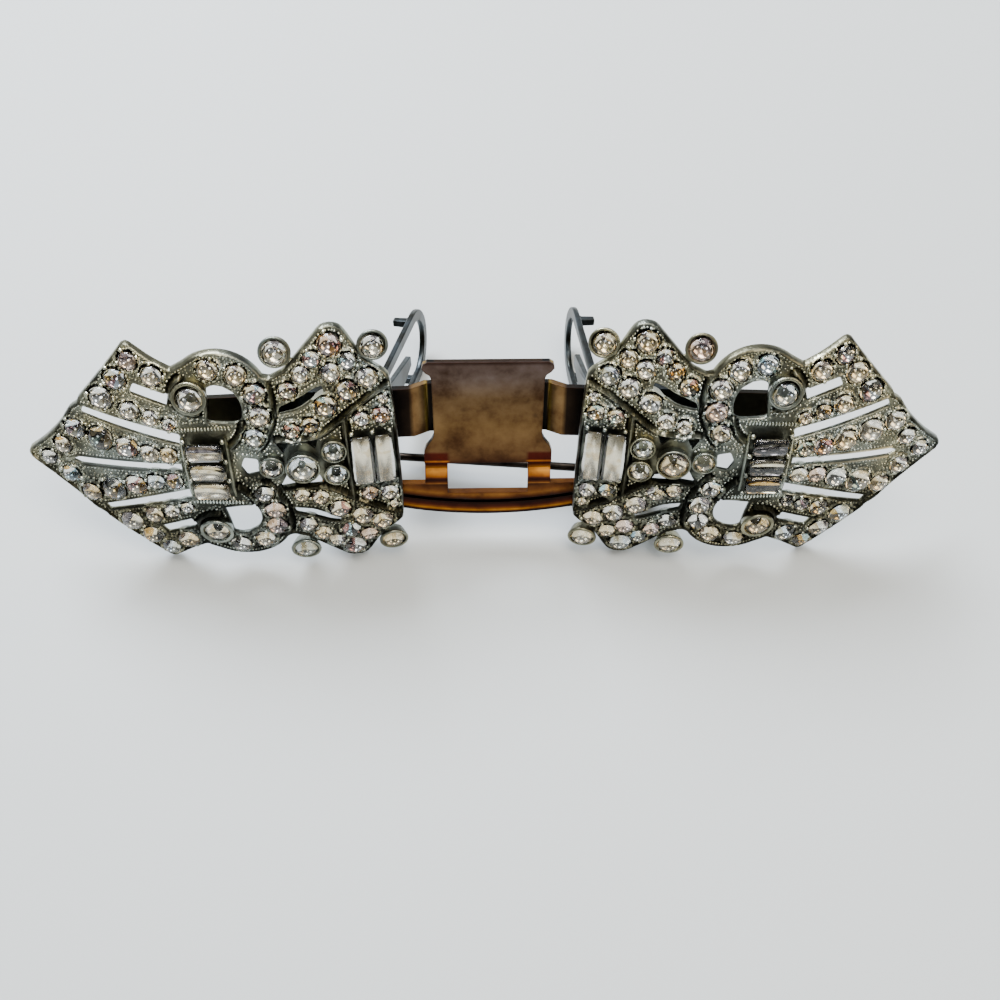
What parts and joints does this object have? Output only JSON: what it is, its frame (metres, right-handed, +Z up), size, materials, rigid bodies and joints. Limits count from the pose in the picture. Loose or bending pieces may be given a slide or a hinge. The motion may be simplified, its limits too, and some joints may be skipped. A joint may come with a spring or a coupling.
{
  "type": "double clip brooch",
  "caption": "Pair of domed, stone-set dress clips that slide onto a small pinned brass frame, standing on their open hinged flaps.",
  "frame": {"origin": "centre of the bounding box at its bottom, on the surface the brooch stands on", "axes": "+X to the viewer's right along the brooch, +Y backwards away from the viewer, +Z up; the face leans back over the open flaps"},
  "size_m": [0.0848, 0.0256, 0.0232],
  "materials": {
    "pot_metal": "bright cast white metal, tarnished in the recesses",
    "crystal": "clear foil-backed cut glass",
    "tarnished_brass": "brown, unevenly tarnished",
    "dull_steel": "dull grey"
  },
  "bodies": {
    "frame": {"frame": "tarnished_brass", "pin_stem": "dull_steel"},
    "left_clip": {"left_casting": "pot_metal", "left_fan_stones": "crystal", "left_crest_stones": "crystal", "left_centre_stone": "crystal", "left_small_stone": "crystal", "left_inner_stone_upper": "crystal", "left_inner_stone_lower": "crystal", "left_curl_stone_upper": "crystal", "left_curl_stone_lower": "crystal", "left_ball_stone_1": "crystal", "left_ball_stone_2": "crystal", "left_ball_stone_3": "crystal", "left_ball_stone_4": "crystal", "left_bridge_baguette_1": "crystal", "left_bridge_baguette_2": "crystal", "left_bridge_baguette_3": "crystal", "left_end_baguette_1": "crystal", "left_end_baguette_2": "crystal", "left_bracket": "dull_steel"},
    "left_flap": {"left_flap": "dull_steel"},
    "right_clip": {"right_casting": "pot_metal", "right_fan_stones": "crystal", "right_crest_stones": "crystal", "right_centre_stone": "crystal", "right_small_stone": "crystal", "right_inner_stone_upper": "crystal", "right_inner_stone_lower": "crystal", "right_curl_stone_upper": "crystal", "right_curl_stone_lower": "crystal", "right_ball_stone_1": "crystal", "right_ball_stone_2": "crystal", "right_ball_stone_3": "crystal", "right_ball_stone_4": "crystal", "right_bridge_baguette_1": "crystal", "right_bridge_baguette_2": "crystal", "right_bridge_baguette_3": "crystal", "right_end_baguette_1": "crystal", "right_end_baguette_2": "crystal", "right_bracket": "dull_steel"},
    "right_flap": {"right_flap": "dull_steel"}
  },
  "joints": [
    {"name": "left_clip_slide", "type": "slide", "parent": "frame", "child": "left_clip", "axis": [-0.999, -0.0221, -0.0396], "range_m": [0, 0.013]},
    {"name": "left_flap_hinge", "type": "hinge", "parent": "left_clip", "child": "left_flap", "pos_m": [-0.01001, -0.00201, 0.01001], "axis": [-0.0454, 0.4874, 0.872], "range_deg": [0, 103.5]},
    {"name": "right_clip_slide", "type": "slide", "parent": "frame", "child": "right_clip", "axis": [0.999, -0.0221, -0.0396], "range_m": [0, 0.013]},
    {"name": "right_flap_hinge", "type": "hinge", "parent": "right_clip", "child": "right_flap", "pos_m": [0.01001, -0.00201, 0.01001], "axis": [-0.0454, -0.4874, -0.872], "range_deg": [0, 95]}
  ]
}
